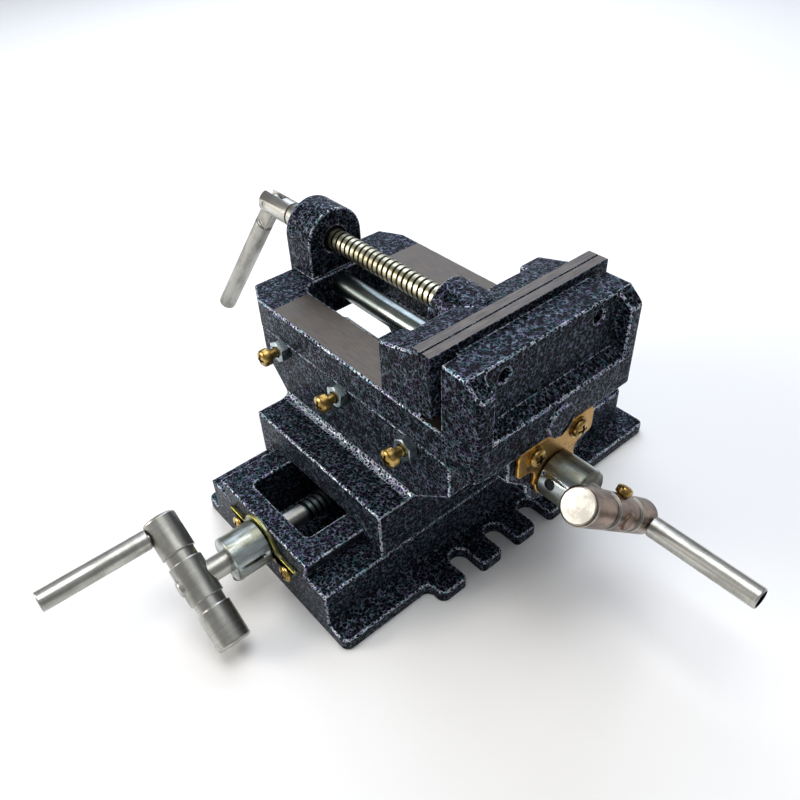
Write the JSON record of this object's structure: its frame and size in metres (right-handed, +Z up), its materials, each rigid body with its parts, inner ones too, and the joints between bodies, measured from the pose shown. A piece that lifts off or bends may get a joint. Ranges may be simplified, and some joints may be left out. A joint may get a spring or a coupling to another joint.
{
  "type": "cross slide vise",
  "caption": "Machine vise with a screw-driven moving jaw on a two-way dovetail slide, moved by crank handles; open slots in the base take table bolts.",
  "frame": {"origin": "centre of the base's underside, on the machine table", "axes": "+Z up; +X from the clamp screw's head to the fixed jaw, along the jaws' travel and the bed's slide; +Y along the base and the saddle's slide, away from the lower crank"},
  "size_m": [0.3406, 0.3083, 0.1409],
  "materials": {
    "hammertone_paint": "blue-black hammertone paint with silvery veins, on cast iron",
    "ground_steel": "ground and hardened, dull",
    "bright_zinc": "turned steel, bright zinc plated",
    "screw_zinc": "turned steel, faintly yellow zinc plated",
    "yellow_zinc": "pressed sheet steel, yellow passivated",
    "brassy_zinc": "yellow passivated or brass screws",
    "cast_bronze": "machined bronze, out of sight",
    "dark_steel": "blackened steel"
  },
  "bodies": {
    "base": {"base_casting": "hammertone_paint", "lower_retaining_plate": "yellow_zinc", "lower_plate_screws": "brassy_zinc"},
    "saddle": {"saddle_casting": "hammertone_paint", "saddle_gib": "ground_steel", "saddle_gib_screws": "brassy_zinc", "saddle_gib_nuts": "bright_zinc", "bed_gib": "ground_steel", "bed_gib_screws": "brassy_zinc", "bed_gib_nuts": "bright_zinc", "saddle_feed_nut": "cast_bronze", "saddle_nut_screws": "dark_steel", "bed_feed_nut": "cast_bronze", "bed_nut_screws": "dark_steel"},
    "vise_bed": {"bed_casting": "hammertone_paint", "fixed_jaw_plate": "ground_steel", "fixed_jaw_screws": "dark_steel", "guide_rod": "bright_zinc", "upper_retaining_plate": "yellow_zinc", "upper_plate_screws": "brassy_zinc", "upper_plate_washers": "bright_zinc"},
    "moving_jaw": {"moving_jaw_casting": "hammertone_paint", "moving_jaw_plate": "ground_steel", "moving_jaw_screws": "dark_steel", "screw_retaining_pin": "bright_zinc"},
    "clamp_screw": {"clamp_screw": "screw_zinc", "handle_pin": "bright_zinc"},
    "clamp_handle": {"clamp_handle": "bright_zinc"},
    "lower_screw": {"lower_lead_screw": "bright_zinc", "lower_collar": "bright_zinc", "lower_collar_set_screw": "bright_zinc", "lower_crank_bar": "bright_zinc", "lower_crank_set_screw": "brassy_zinc", "lower_grip_pin": "bright_zinc"},
    "lower_grip": {"lower_crank_grip": "bright_zinc"},
    "upper_screw": {"upper_lead_screw": "bright_zinc", "upper_collar": "bright_zinc", "upper_collar_set_screw": "bright_zinc", "upper_crank_bar": "bright_zinc", "upper_crank_set_screw": "brassy_zinc", "upper_grip_pin": "bright_zinc"},
    "upper_grip": {"upper_crank_grip": "bright_zinc"}
  },
  "joints": [
    {"name": "saddle_slide", "type": "slide", "parent": "base", "child": "saddle", "axis": [0, 1, 0], "range_m": [-0.032, 0.058]},
    {"name": "lower_screw_spin", "type": "hinge", "parent": "base", "child": "lower_screw", "pos_m": [0, 0, 0.026], "axis": [0, 1, 0], "range_deg": [-6966, 3846]},
    {"name": "lower_grip_spin", "type": "hinge", "parent": "lower_screw", "child": "lower_grip", "pos_m": [-0.02275, -0.15, 0.04055], "axis": [0, 1, 0], "continuous": true},
    {"name": "bed_slide", "type": "slide", "parent": "saddle", "child": "vise_bed", "axis": [1, 0, 0], "range_m": [0, 0.085]},
    {"name": "upper_screw_spin", "type": "hinge", "parent": "vise_bed", "child": "upper_screw", "pos_m": [0, -0.009, 0.067], "axis": [1, 0, 0], "range_deg": [-6, 10206]},
    {"name": "upper_grip_spin", "type": "hinge", "parent": "upper_screw", "child": "upper_grip", "pos_m": [0.13, 0.01122, 0.04911], "axis": [1, 0, 0], "continuous": true},
    {"name": "jaw_slide", "type": "slide", "parent": "vise_bed", "child": "moving_jaw", "axis": [1, 0, 0], "range_m": [-0.08, 0]},
    {"name": "clamp_screw_spin", "type": "hinge", "parent": "moving_jaw", "child": "clamp_screw", "pos_m": [0.035, -0.009, 0.121], "axis": [1, 0, 0], "range_deg": [-8235, 6]},
    {"name": "handle_fold", "type": "hinge", "parent": "clamp_screw", "child": "clamp_handle", "pos_m": [-0.1155, -0.009, 0.121], "axis": [0, 0.9744, -0.225], "range_deg": [0, 120]}
  ],
  "couplings": [
    {"joint": "lower_screw_spin", "follows": "saddle_slide", "rad_per_m": -2094.4},
    {"joint": "upper_screw_spin", "follows": "bed_slide", "rad_per_m": 2094.4},
    {"joint": "clamp_screw_spin", "follows": "jaw_slide", "rad_per_m": 1795.2}
  ]
}
